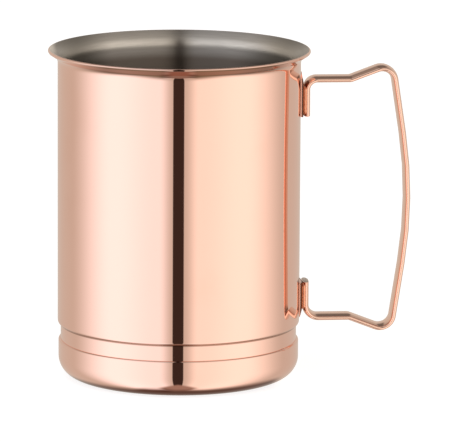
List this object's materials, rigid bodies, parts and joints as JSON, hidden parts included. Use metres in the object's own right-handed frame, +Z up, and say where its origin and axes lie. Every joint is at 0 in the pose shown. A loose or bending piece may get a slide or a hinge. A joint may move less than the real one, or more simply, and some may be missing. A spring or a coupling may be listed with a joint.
{
  "type": "copper beer mug",
  "caption": "Tall straight beer mug with a mirror copper outside, a satin steel liner, a flared lip, a stepped base and a handle bent from an oval strap.",
  "frame": {"origin": "on the table plane under the middle of the mug; the recessed centre of the base is 0.7 mm above it", "axes": "+Z up out of the mouth, +X from the mug's axis towards the handle"},
  "size_m": [0.1319, 0.095, 0.12],
  "materials": {
    "copper": "mirror polished copper",
    "steel": "satin stainless steel",
    "braze": "dull braze metal"
  },
  "bodies": {
    "root": {"copper_body": "copper", "base_cup": "copper", "steel_liner": "steel", "base_braze_ring": "braze", "strap_handle": "copper", "upper_handle_plate": "copper", "lower_handle_plate": "copper", "upper_braze_front": "braze", "upper_braze_back": "braze", "lower_braze_front": "braze", "lower_braze_back": "braze"}
  },
  "joints": []
}
